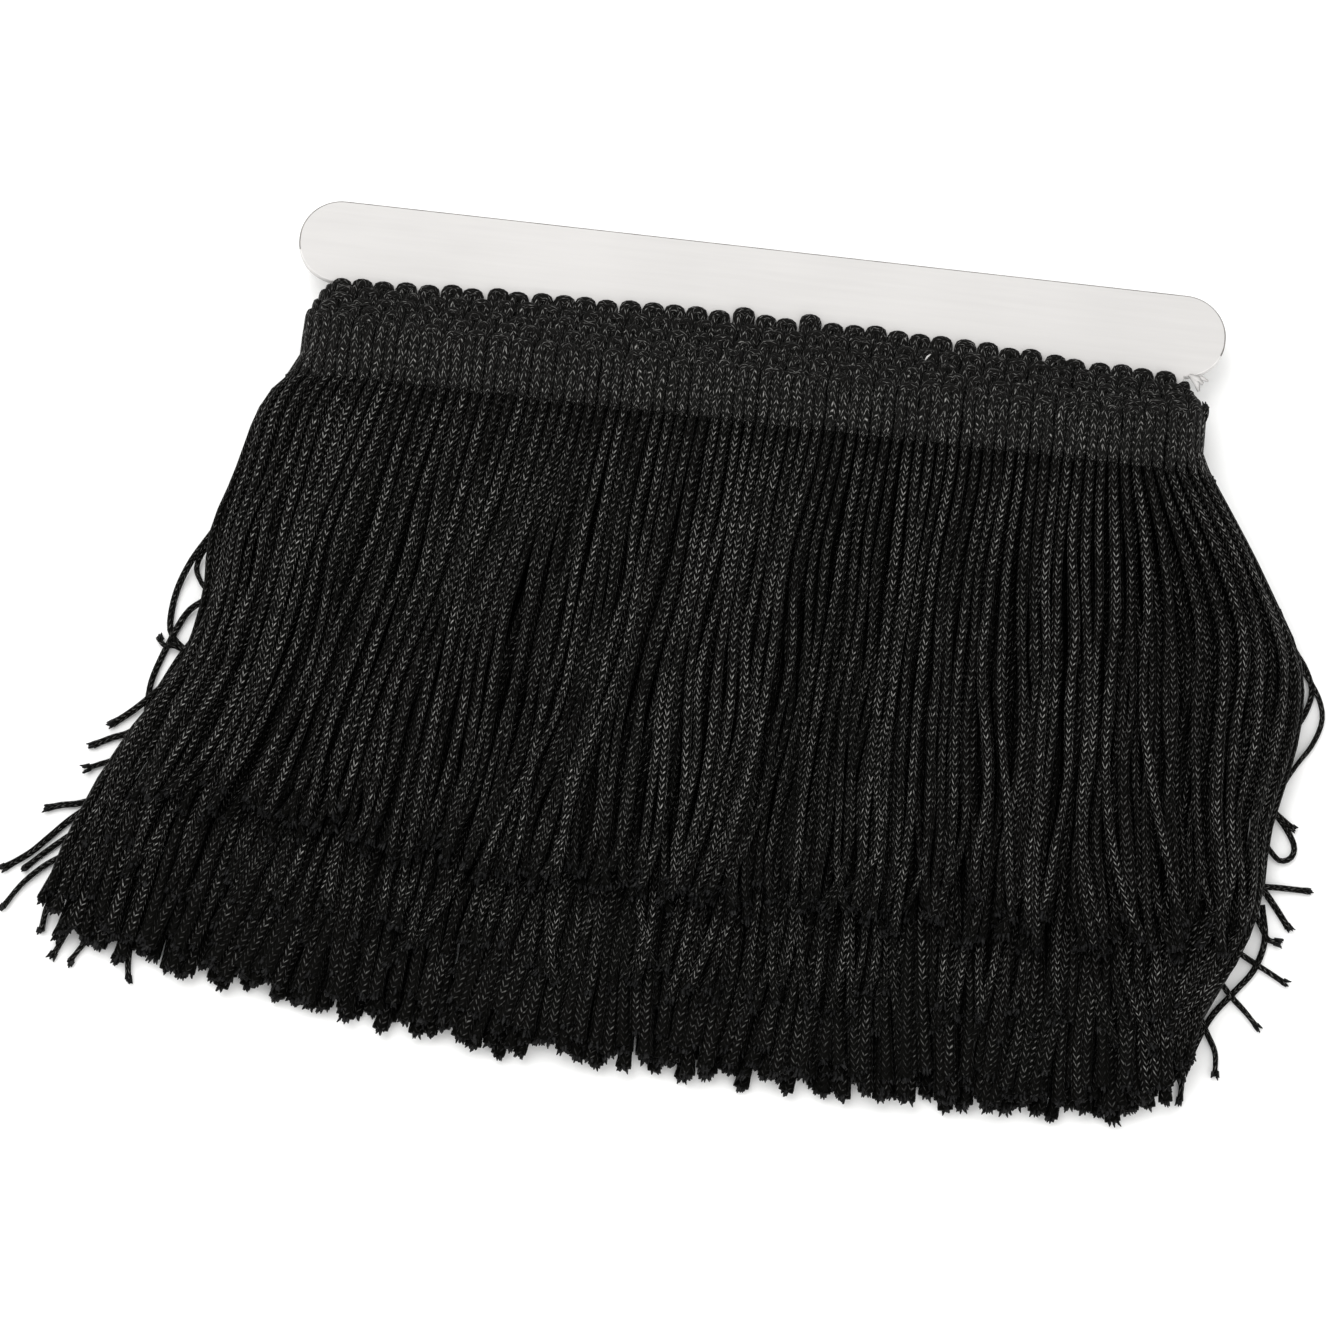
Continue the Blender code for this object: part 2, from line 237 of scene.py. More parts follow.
# Loose cords at the fan's edges, by their places: X, Y and height. The first rows
# are the loops at the left, then the ends there from the top down, then the right.
# The last is the tip of a cord that is folded back at the heading's right fold.
STRAY_STATIONS = 26
STRAY_STEPS = 12
STRAY_CORDS = (
    (
        (-109.2, -53.9, 7.0), (-111.8, -57.6, 5.0), (-115.1, -62.8, 2.5), (-117.3, -69.3, 1.1),
        (-117.6, -76.4, 1.0), (-115.9, -79.7, 1.0), (-112.6, -81.9, 1.6), (-107.5, -84.3, 3.0),
    ),
    (
        (-106.7, -66.6, 6.0), (-110.4, -70.3, 3.5), (-114.4, -73.5, 1.5), (-117.6, -81.2, 1.0),
        (-119.6, -88.0, 1.0), (-120.0, -92.5, 1.0), (-119.6, -97.7, 2.0),
    ),
    (
        (-110.3, -82.5, 2.5), (-113.9, -81.5, 1.2), (-115.8, -81.1, 2.2), (-118.2, -81.0, 1.6),
        (-119.5, -79.5, 1.0),
    ),
    (
        (-110.5, -57.1, 6.0), (-112.7, -60.2, 3.0), (-113.7, -63.2, 1.5), (-112.6, -66.0, 1.6),
        (-109.9, -69.4, 3.0),
    ),
    (
        (-109.8, -76.6, 5.0), (-113.9, -82.4, 2.2), (-116.6, -88.0, 2.0), (-118.8, -93.2, 1.6),
        (-119.4, -98.0, 1.6),
    ),
    (
        (-113.0, -84.6, 5.0), (-116.6, -89.6, 3.2), (-120.4, -93.7, 2.0), (-123.7, -96.7, 1.2),
        (-126.7, -99.1, 1.0),
    ),
    (
        (-115.2, -91.4, 5.0), (-118.9, -96.3, 3.5), (-122.3, -100.3, 1.6), (-126.3, -102.1, 1.0),
        (-130.0, -104.1, 1.0),
    ),
    (
        (-116.3, -98.5, 5.0), (-120.9, -104.2, 3.0), (-125.3, -106.9, 1.4), (-128.0, -108.0, 1.0),
        (-130.5, -109.2, 1.0),
    ),
    (
        (-119.9, -111.2, 4.0), (-125.8, -114.7, 2.2), (-130.9, -116.8, 1.1), (-134.6, -117.6, 1.0),
        (-137.6, -118.6, 1.0),
    ),
    (
        (-122.8, -113.5, 3.0), (-127.1, -116.3, 2.0), (-132.1, -120.2, 1.1), (-136.4, -124.9, 1.0),
        (-139.7, -128.5, 1.0), (-144.6, -132.3, 1.0),
    ),
    (
        (-121.3, -117.1, 2.5), (-126.6, -120.1, 1.8), (-131.6, -123.5, 1.1), (-136.1, -127.5, 1.0),
        (-140.3, -131.8, 1.0),
    ),
    (
        (-118.0, -117.7, 3.0), (-125.3, -122.0, 1.4), (-132.1, -127.7, 1.0), (-136.4, -130.9, 1.0),
        (-140.4, -135.2, 1.0), (-143.6, -140.5, 1.0),
    ),
    ((-129.3, -127.3, 1.6), (-132.3, -133.1, 1.1), (-134.4, -139.0, 1.0), (-135.0, -144.4, 1.0)),
    ((-123.6, -130.5, 1.6), (-126.0, -136.0, 1.1), (-128.9, -142.4, 1.0), (-131.8, -149.4, 1.0)),
    ((-119.0, -133.8, 1.6), (-121.8, -139.1, 1.1), (-124.8, -144.5, 1.0), (-128.2, -150.2, 1.0)),
    ((-116.1, -139.2, 1.6), (-116.3, -145.5, 1.0), (-116.2, -149.1, 1.0), (-115.7, -152.6, 1.0)),
    (
        (115.3, -47.0, 5.0), (119.2, -53.7, 2.5), (122.5, -58.0, 1.2), (124.3, -62.6, 1.0),
        (123.6, -66.9, 1.0), (121.7, -71.1, 1.2), (119.0, -75.9, 2.5),
    ),
    (
        (116.3, -49.6, 5.0), (119.8, -56.2, 2.2), (123.6, -60.5, 1.0), (126.2, -65.0, 1.0),
        (126.9, -69.4, 1.0), (125.2, -74.6, 1.0), (122.3, -79.2, 1.2), (119.2, -84.6, 2.5),
    ),
    (
        (114.9, -87.4, 4.0), (117.8, -90.1, 2.0), (121.0, -93.4, 1.0), (122.9, -96.9, 1.0),
        (122.4, -99.5, 1.0), (120.2, -100.4, 1.0), (118.1, -98.8, 1.4), (115.8, -96.3, 2.4),
    ),
    ((113.2, -86.3, 5.0), (117.0, -89.8, 3.0), (119.8, -91.6, 1.8), (122.4, -93.2, 1.0)),
    ((111.7, -105.6, 3.5), (116.7, -106.4, 1.8), (120.6, -106.2, 1.0), (126.5, -106.2, 1.0)),
    ((113.2, -103.3, 3.5), (116.7, -106.8, 1.8), (120.0, -110.6, 1.0), (122.9, -114.5, 1.0)),
    ((113.1, -107.8, 2.5), (115.9, -112.6, 1.4), (118.6, -117.2, 1.0), (120.8, -117.8, 1.0)),
    ((112.0, -120.7, 2.0), (115.6, -122.4, 1.0), (119.3, -124.3, 1.0), (123.0, -126.3, 1.0)),
    ((108.2, -126.4, 2.0), (112.2, -130.5, 1.0), (115.2, -133.3, 1.0), (117.9, -136.2, 1.0)),
    ((104.8, -133.8, 2.0), (107.6, -138.6, 1.0), (109.6, -142.6, 1.0), (109.9, -147.0, 1.0)),
    (
        (116.9, -110.5, 2.2), (118.2, -117.6, 1.0), (116.4, -124.2, 1.0), (112.6, -129.4, 1.0),
        (108.4, -134.9, 1.0), (105.5, -141.2, 1.0), (103.9, -146.8, 1.0),
    ),
    ((101.7, -136.7, 1.8), (102.9, -142.7, 1.0), (103.2, -148.6, 1.0), (103.1, -153.4, 1.0)),
    ((94.2, -12.4, 11.0), (95.2, -9.8, 12.0), (95.9, -7.6, 12.3), (95.8, -6.2, 12.2)),
)

FRINGE_NODES = (
    "fringe_floor_tier",
    "fringe_lower_tier",
    "fringe_upper_tier",
    "fringe_front_tier",
)


def linear_colour(code):
    """Turns an sRGB hex value into the linear colour that shaders take."""
    shares = [int(code[i : i + 2], 16) / 255 for i in (1, 3, 5)]
    return tuple(s / 12.92 if s <= 0.04045 else ((s + 0.055) / 1.055) ** 2.4 for s in shares)


class FringeTrimSettings(bpy.types.PropertyGroup):
    """Sizes and colours of the trim that a user may want to change."""

    cord_diameter: FloatProperty(
        name="Cord Diameter",
        description="Width of one chainette cord, which is a little flatter than round",
        default=2.0 * MM,
        unit="LENGTH",
    )
    loop_pitch: FloatProperty(
        name="Loop Pitch",
        description="Width of one loop of the heading, which is two ribs",
        default=4.8 * MM,
        unit="LENGTH",
    )
    stitch_pitch: FloatProperty(
        name="Stitch Pitch",
        description="Length of one knitted stitch along a cord",
        default=1.4 * MM,
        unit="LENGTH",
    )
    end_scatter: FloatProperty(
        name="End Scatter",
        description="How far the cut ends lie from their tier's line",
        default=2.6 * MM,
        unit="LENGTH",
    )
    wave: FloatProperty(
        name="Wave",
        description="How far the cords wave sideways towards their ends",
        default=1.5 * MM,
        unit="LENGTH",
    )
    fibres_per_end: IntProperty(
        name="Fibres per End",
        description="Loose filaments at each cut end",
        default=8,
        min=1,
    )
    cord_colour: FloatVectorProperty(
        name="Cord Colour",
        description="Colour deep between the stitches of the cords",
        subtype="COLOR",
        default=linear_colour("#030302"),
    )
    # Painted highlight: this colour stands for the light that the glossy raised arms catch.
    stitch_highlight_colour: FloatVectorProperty(
        name="Stitch Highlight Colour",
        description="Colour of the raised arms of the stitches",
        subtype="COLOR",
        default=linear_colour("#93928f"),
    )
    card_colour: FloatVectorProperty(
        name="Card Colour",
        description="Colour of the board's coated faces",
        subtype="COLOR",
        default=linear_colour("#c3c1bf"),
    )


def smooth_step(value):
    """Goes from 0 to 1 as 3*v^2 - 2*v^3, flat at both ends."""
    value = np.clip(value, 0.0, 1.0)
    return value * value * (3 - 2 * value)


def unit(vectors):
    """The vectors, each divided by its length."""
    return vectors / np.linalg.norm(vectors, axis=-1, keepdims=True)


# Meshes


def new_mesh(name, shape, material, shade=None):
    """A mesh of a shape: points in mm, quads, knit and smooth. Knit is a UV pair for each
    corner, stitches along the cord and knit columns round it, smooth says which quads
    are shaded so, and shade scales each point's painted highlights: painted shade, with
    some random tone between cords."""
    points, quads, knit, smooth = shape
    mesh = bpy.data.meshes.new(name)
    mesh.vertices.add(len(points))
    mesh.vertices.foreach_set("co", ((points + ORIGIN) * MM).astype(np.float32).ravel())
    mesh.loops.add(quads.size)
    mesh.loops.foreach_set("vertex_index", quads.astype(np.int32).ravel())
    mesh.polygons.add(len(quads))
    mesh.polygons.foreach_set("loop_start", np.arange(0, quads.size, 4, dtype=np.int32))
    mesh.polygons.foreach_set("use_smooth", smooth)
    layer = mesh.uv_layers.new(name="knit")
    layer.uv.foreach_set("vector", knit.astype(np.float32).ravel())
    if shade is not None:
        attribute = mesh.attributes.new("shade", "FLOAT", "POINT")
        attribute.data.foreach_set("value", shade.astype(np.float32).ravel())
    mesh.update(calc_edges=True)
    mesh.materials.append(material)
    return mesh


def finish_piece(mesh, slot, *nodes):
    """The object of a mesh, at the origin, and what it stands for in the frame."""
    piece = bpy.data.objects.new(mesh.name, mesh)
    bpy.context.scene.collection.objects.link(piece)
    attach(piece, "root")
    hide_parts(*nodes)


def tubes(
    path, outwards, wide, high, stitch, column, twist=0.0, sides=SIDES, columns=KNIT_COLUMNS
):
    """Closed tubes, one for each row of the path (cord, station, xyz). A point of a
    tube is path + wide*cos(t)*side + high*sin(t)*out, where out is the outward
    direction made square to the path and then turned about it by the twist, side is
    square to both and t goes round."""
    cords, stations = path.shape[:2]
    along = unit(np.gradient(path, axis=1))
    level = unit(outwards - np.sum(outwards * along, axis=-1, keepdims=True) * along)
    twist = (np.zeros((cords, stations)) + twist)[..., None]
    out = np.cos(twist) * level + np.sin(twist) * np.cross(along, level)
    side = np.cross(along, out)
    turn = np.arange(sides) / sides * math.tau
    points = (
        path[:, :, None]
        + (wide[:, :, None] * np.cos(turn))[..., None] * side[:, :, None]
        + (high[:, :, None] * np.sin(turn))[..., None] * out[:, :, None]
    )
    index = np.arange(cords * stations * sides).reshape(cords, stations, sides)
    after = np.roll(index, -1, axis=2)
    walls = np.stack((index[:, :-1], index[:, 1:], after[:, 1:], after[:, :-1]), axis=-1)
    caps = np.array(CAP_QUADS[sides])
    starts = index[:, 0][:, caps]
    ends = index[:, -1][:, caps[:, ::-1]]
    quads = np.concatenate([part.reshape(-1, 4) for part in (walls, starts, ends)])
    round_here = column[:, :, None] + columns * np.arange(sides) / sides
    round_next = round_here + columns / sides
    length = np.broadcast_to(stitch[:, :, None], round_here.shape)
    corners = np.stack(
        (
            np.stack((length[:, :-1], round_here[:, :-1]), axis=-1),
            np.stack((length[:, 1:], round_here[:, 1:]), axis=-1),
            np.stack((length[:, 1:], round_next[:, 1:]), axis=-1),
            np.stack((length[:, :-1], round_next[:, :-1]), axis=-1),
        ),
        axis=-2,
    )
    flat = np.stack((length, round_here), axis=-1)
    cap_starts = flat[:, 0][:, caps]
    cap_ends = flat[:, -1][:, caps[:, ::-1]]
    knit = np.concatenate([part.reshape(-1, 2) for part in (corners, cap_starts, cap_ends)])
    smooth = np.ones(len(quads), dtype=bool)
    smooth[walls.size // 4 :] = False
    return points.reshape(-1, 3), quads, knit, smooth


def stitches_along(path, pitch):
    """Stitches counted along each path, from its length."""
    steps = np.linalg.norm(np.diff(path, axis=1), axis=-1)
    return np.concatenate((np.zeros((len(path), 1)), np.cumsum(steps, axis=1)), axis=1) / pitch


# The winding's track


def away_from_slot(angle, level):
    """Offset in X and Z from the slot's middle line at a level of the winding: a
    superellipse that is nearly square at the slot and round outside."""
    roundness = SLOT_ROUNDNESS + (1 - SLOT_ROUNDNESS) * level / TURNS
    across = np.sin(angle)
    up = np.cos(angle)
    return (
        np.sign(across) * np.abs(across) ** roundness * (FOLD_INNER + FOLD_STEP * level),
        np.sign(up) * np.abs(up) ** roundness * (SLOT_HALF + FACE_STEP * level),
    )


def loop_top(turn, x, angle):
    """Y of a turn's looped edge: bowed up on the faces, with a height for each fold."""
    bow = (BOW_INNER - BOW_LOSS * turn) * np.cos(math.pi * x / (2 * FLAT_HALF))
    end_lift = np.where(x > 0, RIGHT_END_LIFT, LEFT_END_LIFT)
    on_face = FACE_TOP + bow + end_lift * (x / FLAT_HALF) ** 4 - FACE_DROP * turn
    turns = np.arange(TURNS)
    on_left = np.interp(turn, turns, LEFT_FOLD_TOPS)
    on_right = np.interp(turn, turns, RIGHT_FOLD_TOPS)
    on_fold = np.where(x > 0, on_right, on_left)
    return on_face + (on_fold - on_face) * np.abs(np.sin(angle))


def fold_shift(x, y):
    """Sideways shift of the heading at its folds, which grows with the depth into the
    fold and goes from pressed to flared as a smooth step near the foot."""
    depth = np.clip((np.abs(x) - FOLD_BEGINS) / FOLD_DEPTH, 0, 1)
    pressed = np.where(x > 0, RIGHT_PRESS, 0.0)
    flared = np.where(x > 0, RIGHT_FLARE, LEFT_FLARE)
    near_foot = smooth_step((HEADING_FOOT + FLARE_HEIGHT - y) / FLARE_HEIGHT)
    return depth * (pressed + (flared - pressed) * near_foot)


class Track:
    """The middle line of one turn of the heading, sampled finely and measured along
    its own length. Each turn climbs onto the one before it at the back's middle."""

    def __init__(self, turn, loop_pitch):
        self.turn = turn
        loops = np.linspace(0.0, TRACK_LOOPS[-1], TRACK_SAMPLES)
        x = np.interp(loops, TRACK_LOOPS, TRACK_X)
        self.flat_x = x - STRETCH * FLAT_HALF * (1 - (x / FLAT_HALF) ** 2)
        self.angle = np.interp(loops, TRACK_LOOPS, TRACK_ANGLE)
        climb = 1 - smooth_step(loops / CLIMB_LOOPS) if turn else 0.0
        self.level = turn + 0.5 - climb + np.zeros_like(loops)
        across, up = away_from_slot(self.angle, self.level)
        self.x = self.flat_x + across
        self.z = ROLL_HALF + up
        steps = np.hypot(np.diff(self.x), np.diff(self.z))
        self.length = np.concatenate(((0.0,), np.cumsum(steps)))
        self.loops = round(self.length[-1] / loop_pitch)
        self.pitch = self.length[-1] / self.loops
        self.middles = (np.arange(self.loops) + (0.5 + 0.382 * turn) % 1) * self.pitch

    def read(self, values, where):
        return np.interp(where, self.length, values)

    def place(self, where):
        return self.read(self.x, where), self.read(self.z, where)

    def outwards(self, where):
        """The direction out of the winding: the track's own direction turned up."""
        reach = 0.6
        x_before, z_before = self.place(where - reach)
        x_after, z_after = self.place(where + reach)
        return unit(np.stack((z_before - z_after, np.zeros_like(where), x_after - x_before), -1))


def heading_paths(track, luck):
    """Hairpins of the heading: up one rib, over in a flat arch and down the next. The
    arch is lateral = -cos(p), height = sin(p), for p from 0 to half a turn. Each hairpin
    drifts to a side and wobbles as a sine of Y, which fades out at the foot."""
    half_loop = track.pitch / 4
    middles = track.middles[:, None]
    x = track.read(track.flat_x, middles)
    angle = track.read(track.angle, middles)
    level = track.read(track.level, middles)
    top = loop_top(level - 0.5, x, angle) + TOP_LIFT + luck.normal(0, TOP_SCATTER, middles.shape)
    if track.turn == 0:
        behind = np.cos(angle) < 0
        for place in RAISED_LOOPS:
            top[np.argmin(np.abs(x - place) + FLANGE_LENGTH * behind)] += RAISE
    base = top - ARCH_RISE - ARCH_DEPTH
    y_leg = HEADING_FOOT + (base - HEADING_FOOT) * LEG_SHARES
    y_arch = base + ARCH_RISE * np.sin(ARCH_ANGLES)
    y = np.concatenate((y_leg, y_arch, y_leg[:, ::-1]), axis=1)
    leg = np.ones(len(LEG_SHARES))
    lateral = half_loop * np.concatenate((-leg, -np.cos(ARCH_ANGLES), leg))
    drift = luck.normal(0, RIB_DRIFT, middles.shape)
    phase = luck.uniform(0, 1, middles.shape)
    wobble = RIB_WOBBLE * np.sin(math.tau * (y / WOBBLE_LENGTH + phase))
    wobble = wobble * smooth_step((y - HEADING_FOOT) / WOBBLE_STARTS)
    where = middles + lateral + drift + wobble
    across, height = track.place(where)
    path = np.stack((across + fold_shift(across, y), y, height), axis=-1)
    fold = np.abs(np.sin(track.read(track.angle, where)))
    pinch = np.concatenate((LEG_PINCHES, np.ones(len(ARCH_ANGLES)), LEG_PINCHES[::-1]))
    wide = np.broadcast_to(half_loop * pinch, where.shape)
    thick = 1 + luck.normal(0, 0.04, middles.shape)
    high = (RIB_HALF_HIGH - RIB_FLATTER_AT_FOLD * fold) * pinch * thick
    return path, track.outwards(where), wide, high


def edge_way(share, length):
    """The edge cords' own way at a length from the root, the mean of the side's row a
    little before, at and after that length, which rounds its corners."""
    reach = EDGE_BLUR * np.minimum(1, length / EDGE_BLUR)
    way = np.zeros_like(length)
    for step in (-1, 0, 1):
        place = length + step * reach
        on_left = np.interp(place, EDGE_LENGTHS, LEFT_WAYS)
        on_right = np.interp(place, EDGE_LENGTHS, RIGHT_WAYS)
        way += np.where(share > 0, on_right, on_left) / 3
    return way


def fan_out(share, along, middle_lean):
    """Sideways way of a cord at a length from its root: an even lean that grows with
    the share, and near the fan's edges a part of the edge's own way."""
    begins, slope, _, _ = (
        np.where(share > 0, right, left) for left, right in zip(LEFT_SIDE, RIGHT_SIDE)
    )
    edge = smooth_step((np.abs(share) - begins) / (1 - begins))
    length = np.maximum(along, 0)
    lean = middle_lean + LEAN_GROWTH * share
    inner = (1 - edge) * slope * length
    return length * lean + edge * (edge * edge_way(share, length) + inner)


def shorter_at_sides(share):
    """The share of its full reach that a cord has: less towards the fan's edges."""
    _, _, lost, power = (
        np.where(share > 0, right, left) for left, right in zip(LEFT_SIDE, RIGHT_SIDE)
    )
    return 1 - lost * np.minimum(np.abs(share), 1) ** power


def bunching(root_x, along):
    """Sideways shifts that gather cords into bunches, with dark gaps between them that
    go down through the turns: a sum of sines of the place along the heading."""
    shift = np.zeros_like(along)
    for length, size, start in BUNCHES:
        slant = BUNCH_SLANT * np.sin(along / 30 + 9 * start) / TURNS
        shift += size * np.sin(math.tau * (root_x / length + start + slant))
    return shift * smooth_step(along / BUNCH_LENGTH)


class Cords:
    """The cords that hang from the ribs of one turn. Each has a row, and stations along
    it that are measured from its root, in mm and as a part of its reach."""

    def __init__(self, track, settings, luck):
        half_loop = track.pitch / 4
        where = np.stack((track.middles - half_loop, track.middles + half_loop), axis=1).ravel()
        root_x, root_z = track.place(where)
        self.settings = settings
        self.luck = luck
        self.root_x = root_x[:, None]
        self.root_z = root_z[:, None]
        self.outwards = track.outwards(where)[:, None]
        self.share = self.root_x / FAN_HALF
        self.in_front = self.root_z > ROLL_HALF
        self.reach = self.cut_length()
        leans = np.interp(self.root_z, LEAN_HEIGHTS, MIDDLE_LEANS)
        self.lean = leans + self.spread(LEAN_SCATTER)
        legs = np.linspace(0, 1, LEG_STATIONS) ** 1.2 * (self.reach - 3.2)
        ends = self.reach - np.array((1.6, 0.7, 0.0))
        self.along = np.concatenate((np.full_like(self.reach, -0.9), legs, ends), axis=1)
        self.part = np.clip(self.along / self.reach, 0, 1)
        phase = self.along / self.each(*OWN_WAVE_LENGTHS) + self.each(0, 1)
        self.own_wave = np.sin(math.tau * phase)

    def each(self, low, high):
        """A random number for each cord, even between two limits."""
        return self.luck.uniform(low, high, self.root_x.shape)

    def spread(self, size):
        """A random number for each cord, normal about zero."""
        return self.luck.normal(0, size, self.root_x.shape)

    def for_side(self, front, behind):
        return np.where(self.in_front, front, behind)

    def cut_length(self):
        """Each cord's reach, by its tier: less at the fan's sides, scattered, and cut in
        a slow sine along the heading."""
        reach = np.interp(self.root_z, REACH_HEIGHTS, REACHES)
        scatter = self.for_side(*END_SCATTERS) * self.settings.end_scatter / MM
        reach = reach * shorter_at_sides(self.share) + self.each(-1, 1) * scatter
        cut = np.sin(math.tau * (self.root_x / UNEVEN_CUT_LENGTH + 0.3 * self.root_z))
        return reach + self.in_front * UNEVEN_CUT * cut

    def sideways(self):
        """How far across its root each station lies: the fan's lean, a wave that grows
        along the cord, a little of its own waving, and bunches."""
        along, part = self.along, self.part
        across = fold_shift(self.root_x, HEADING_FOOT) + fan_out(self.share, along, self.lean)
        phase = along / WAVE_LENGTH + (self.root_x + 3 * self.root_z) / WAVE_DRIFT
        across += self.settings.wave / MM * part * np.sin(math.tau * phase)
        own = self.for_side(*OWN_WAVES) * self.each(0.1, 0.8) * np.minimum(1, part * 2.2)
        across += own * self.own_wave
        across += self.for_side(*BUNCHINGS) * bunching(self.root_x, along)
        across += self.for_side(*END_STRAYS) * self.spread(1) * part**3
        # Right of the middle, the cords on top lie over to the left at first.
        begins = smooth_step((self.share + 0.1) / 0.3)
        dragged = begins * (1 - smooth_step((self.share - 0.6) / 0.3))
        across += DRAG * self.in_front * dragged * smooth_step(along / DRAG_LENGTH)
        # A few cords wander across the others near their ends.
        wander = np.clip(self.spread(WANDER) ** 3, -WANDER_MOST, WANDER_MOST)
        across += wander * self.in_front * np.clip((part - 0.6) / 0.4, 0, 1) ** 1.5
        splay = self.for_side(*END_SPLAYS) * self.spread(1)
        return across + splay * np.clip((part - 0.87) / 0.13, 0, 1) ** 2

    def heights(self, uneven, sunk):
        """Z of each station: from the root down to the height where its tier rests, as a
        smooth step, with a quick sink at the foot and a slow one for sunk cords."""
        along = self.along
        rest = np.interp(self.root_z, REST_HEIGHTS, RESTS) + uneven * self.part
        height = self.root_z + (rest - self.root_z) * smooth_step(along / SETTLE_LENGTH)
        inwards = self.for_side(-FOOT_SINK, FOOT_SINK)
        height = height + inwards * (1 - np.exp(-np.maximum(along, 0) / FOOT_SINK_LENGTH))
        return height - self.in_front * SUNK_DEPTH * sunk * smooth_step(along / SUNK_LENGTH)

    def half_sizes(self):
        """Half widths and half heights: pinched at the root and flared at the cut, and
        pressed flat under the other cords."""
        swell = np.ones(self.along.shape)
        swell[:, : len(ROOT_PINCHES)] = ROOT_PINCHES
        swell[:, -len(END_FLARES) :] += self.for_side(*CUT_FLARES) * END_FLARES
        half = self.settings.cord_diameter / MM / 2 * swell * self.each(0.92, 1.06)
        wide = half * (1 + (1 - self.in_front) * PRESSED_WIDER * self.part)
        return wide, half * self.each(0.66, 0.86)

    def painted_cover_shade(self):
        """How bright a cord's yarn is: painted shade at its root under the heading's foot,
        darker at its cut end, which has no stitches, and painted shade where the turn above
        covers it, up to a little past that turn's ends."""
        along, reach = self.along, self.reach
        covered = np.interp(self.root_z + FACE_STEP, REACH_HEIGHTS, REACHES)
        above = covered * reach / np.interp(self.root_z, REACH_HEIGHTS, REACHES)
        on_top = self.root_z > 2 * ROLL_HALF - FACE_STEP
        open_top = on_top | (np.abs(self.root_x) > FLAT_HALF)
        bare = np.where(open_top, 1.0, smooth_step((along - above + 1) / 9))
        at_root = smooth_step(along / 9)
        at_end = smooth_step((along - reach + 5) / 4)
        return (0.45 + 0.55 * bare) * (0.65 + 0.35 * at_root) * (1 - 0.7 * at_end)


def fringe_tubes(track, settings, luck):
    """The cords of one turn: their paths, their shape as tubes, and their shade."""
    cords = Cords(track, settings, luck)
    across = cords.sideways()
    uneven = cords.spread(REST_SCATTER)
    # Some cords sink between their neighbours.
    sunk = smooth_step((cords.each(0, 1) - 0.25) / 0.6)
    height = cords.heights(uneven, sunk)
    wide, high = cords.half_sizes()
    path = (cords.root_x + across, HEADING_FOOT - cords.along, np.maximum(height, high))
    path = np.stack(path, axis=-1)
    # The cord twists slowly, and the knit's column that faces out turns with it.
    part = cords.part
    twist = cords.each(-0.9, 0.9) * part
    twist = twist + cords.each(0.1, 0.8) * part * cords.own_wave + cords.each(-0.3, 0.3)
    twist = twist * cords.for_side(*TWISTS)
    column = 0.5 - KNIT_COLUMNS / 4 + cords.each(-0.12, 0.12) + 0 * cords.along
    stitch = stitches_along(path, settings.stitch_pitch / MM)
    stitch += luck.uniform(0, 900, (len(path), 1))
    outwards = np.broadcast_to(cords.outwards, path.shape)
    shape = tubes(path, outwards, wide, high, stitch, column, twist)
    # Painted shade: sunk cords are darker, and so are cords under the turn above.
    shade = (1 - SUNK_PAINTED_SHADE * sunk) * cords.painted_cover_shade()
    return path, shape, painted_flank_shade(shade, twist)


def painted_flank_shade(shade, twist=0.0):
    """Shade for each point of a tube: its own, times a painted shade on the flanks, where
    the tube meets its neighbours, as 0.45 + 0.55*|sin(t)| with t from the side."""
    turn = np.arange(SIDES) / SIDES * math.tau - np.asarray(twist)[..., None]
    return (shade[..., None] * (0.45 + 0.55 * np.abs(np.sin(turn)))).ravel()


def filaments(path, scale, settings, luck):
    """Filaments at the cut ends: each leaves a point inside the end and splays out,
    bending as the power 1.5 of the way along, and tapers."""
    count = settings.fibres_per_end
    tips = np.repeat(path[:, -1], count, axis=0)
    ahead = np.repeat(unit(path[:, -1] - path[:, -2]), count, axis=0)
    splay = luck.normal(0, 1, tips.shape)
    splay -= np.sum(splay * ahead, axis=-1, keepdims=True) * ahead
    splay = unit(splay)
    out = luck.uniform(0.2, 0.95, (len(tips), 1))
    start = tips + splay * out * scale * settings.cord_diameter / MM / 2
    length = luck.uniform(*FILAMENT_LENGTHS, (len(tips), 1))
    steps = FILAMENT_STEPS[None, :, None]
    bend = splay[:, None] * out[:, None] * FILAMENT_BEND * np.clip(steps, 0, 1) ** 1.5
    line = start[:, None] + length[:, None] * (ahead[:, None] * steps + bend)
    thick = np.broadcast_to(FILAMENT_HALVES, line.shape[:2])
    line[..., 2] = np.maximum(line[..., 2], thick)
    outwards = np.broadcast_to(np.array((0.3, 0.2, 0.93)), line.shape)
    flat = np.zeros(line.shape[:2])
    return tubes(line, outwards, thick, thick, flat, flat, sides=4)


def smooth_line(places, stations):
    """A Catmull-Rom line: between two places a cubic whose slope at each place is
    half the way from the place before it to the one after."""
    ends = (2 * places[:1] - places[1:2], places, 2 * places[-1:] - places[-2:-1])
    framed = np.concatenate(ends)
    before, here, after, beyond = (framed[i : len(places) - 1 + i, None] for i in range(4))
    t = np.linspace(0, 1, STRAY_STEPS, endpoint=False)[None, :, None]
    line = here + 0.5 * t * (after - before)
    line = line + 0.5 * t**2 * (2 * before - 5 * here + 4 * after - beyond)
    line = line + 0.5 * t**3 * (3 * here - before - 3 * after + beyond)
    line = np.concatenate((line.reshape(-1, 3), places[-1:]))
    steps = np.linalg.norm(np.diff(line, axis=0), axis=1)
    length = np.concatenate(((0.0,), np.cumsum(steps)))
    wanted = np.linspace(0, length[-1], stations)
    return np.stack([np.interp(wanted, length, line[:, i]) for i in range(3)], axis=-1)


# Materials


